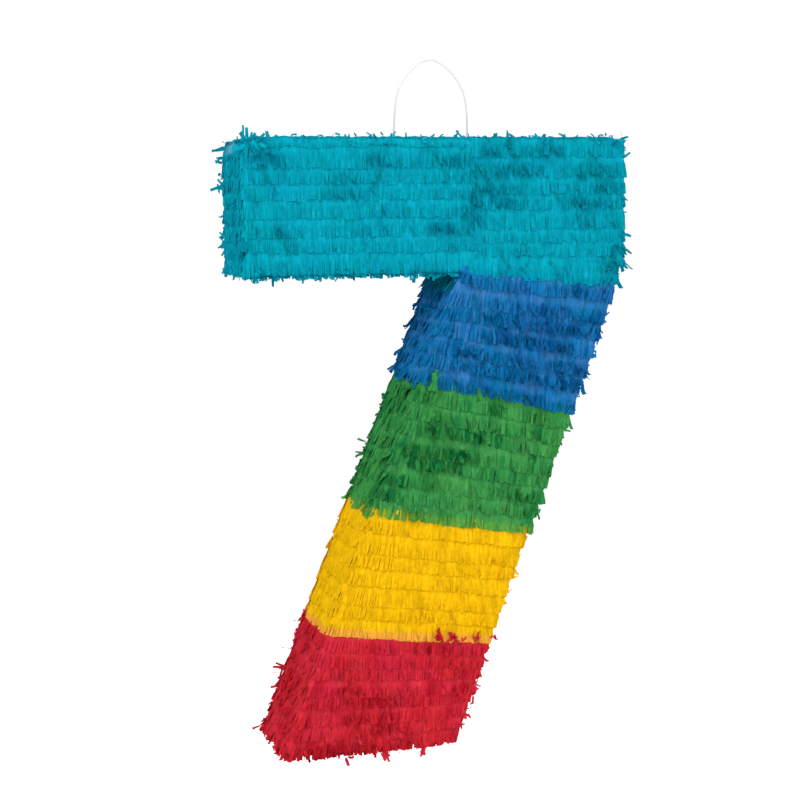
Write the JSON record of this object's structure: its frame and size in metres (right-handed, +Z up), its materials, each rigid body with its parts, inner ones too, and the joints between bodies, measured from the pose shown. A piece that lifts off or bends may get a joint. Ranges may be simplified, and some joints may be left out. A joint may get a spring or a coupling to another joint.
{
  "type": "number pinata",
  "caption": "Hanging number-seven pinata: hollow taped board case covered in bands of tissue fringe, with a filling flap in the back and a cord loop on top.",
  "frame": {"origin": "top of the hanging loop, in the middle of its cord, where the rope carries it", "axes": "+Z up, +X to the right as seen from the front, the front faces -Y"},
  "size_m": [0.356, 0.082, 0.6208],
  "materials": {
    "corrugated_board": "matt brown liner",
    "gummed_tape": "matt brown paper",
    "nylon_cord": "translucent white, slightly glossy",
    "tissue_teal": "crimped tissue, matt with a faint sheen",
    "tissue_blue": "crimped tissue, matt with a faint sheen",
    "tissue_green": "crimped tissue, matt with a faint sheen",
    "tissue_yellow": "crimped tissue, matt with a faint sheen",
    "tissue_red": "crimped tissue, matt with a faint sheen"
  },
  "bodies": {
    "loop": {"hanging_loop": "nylon_cord"},
    "case": {"front_panel": "corrugated_board", "back_panel": "corrugated_board", "top_wall": "corrugated_board", "right_end_wall": "corrugated_board", "outer_leg_wall": "corrugated_board", "foot_wall": "corrugated_board", "inner_leg_wall": "corrugated_board", "bar_underside_wall": "corrugated_board", "left_end_wall": "corrugated_board", "hanger_plate": "corrugated_board", "loop_ends_and_knots": "nylon_cord", "front_edge_tapes": "gummed_tape", "back_edge_tapes": "gummed_tape", "back_fringe_blue": "tissue_blue", "back_fringe_green": "tissue_green", "back_fringe_red": "tissue_red", "back_fringe_teal": "tissue_teal", "back_fringe_yellow": "tissue_yellow", "bar_underside_fringe_teal": "tissue_teal", "foot_fringe_red": "tissue_red", "front_fringe_blue": "tissue_blue", "front_fringe_green": "tissue_green", "front_fringe_red": "tissue_red", "front_fringe_teal": "tissue_teal", "front_fringe_yellow": "tissue_yellow", "inner_leg_fringe_blue": "tissue_blue", "inner_leg_fringe_green": "tissue_green", "inner_leg_fringe_red": "tissue_red", "inner_leg_fringe_yellow": "tissue_yellow", "left_end_fringe_teal": "tissue_teal", "outer_leg_fringe_blue": "tissue_blue", "outer_leg_fringe_green": "tissue_green", "outer_leg_fringe_red": "tissue_red", "outer_leg_fringe_teal": "tissue_teal", "outer_leg_fringe_yellow": "tissue_yellow", "right_end_fringe_teal": "tissue_teal", "top_fringe_teal": "tissue_teal"},
    "flap": {"fill_flap": "corrugated_board", "flap_fringe_teal": "tissue_teal"}
  },
  "joints": [
    {"name": "swing", "type": "hinge", "parent": "loop", "child": "case", "pos_m": [0, 0, -0.0728], "axis": [1, 0, 0], "range_deg": [-75, 75]},
    {"name": "flap_hinge", "type": "hinge", "parent": "case", "child": "flap", "pos_m": [-0.04, 0.038, -0.108], "axis": [1, 0, 0], "range_deg": [0, 100]}
  ]
}
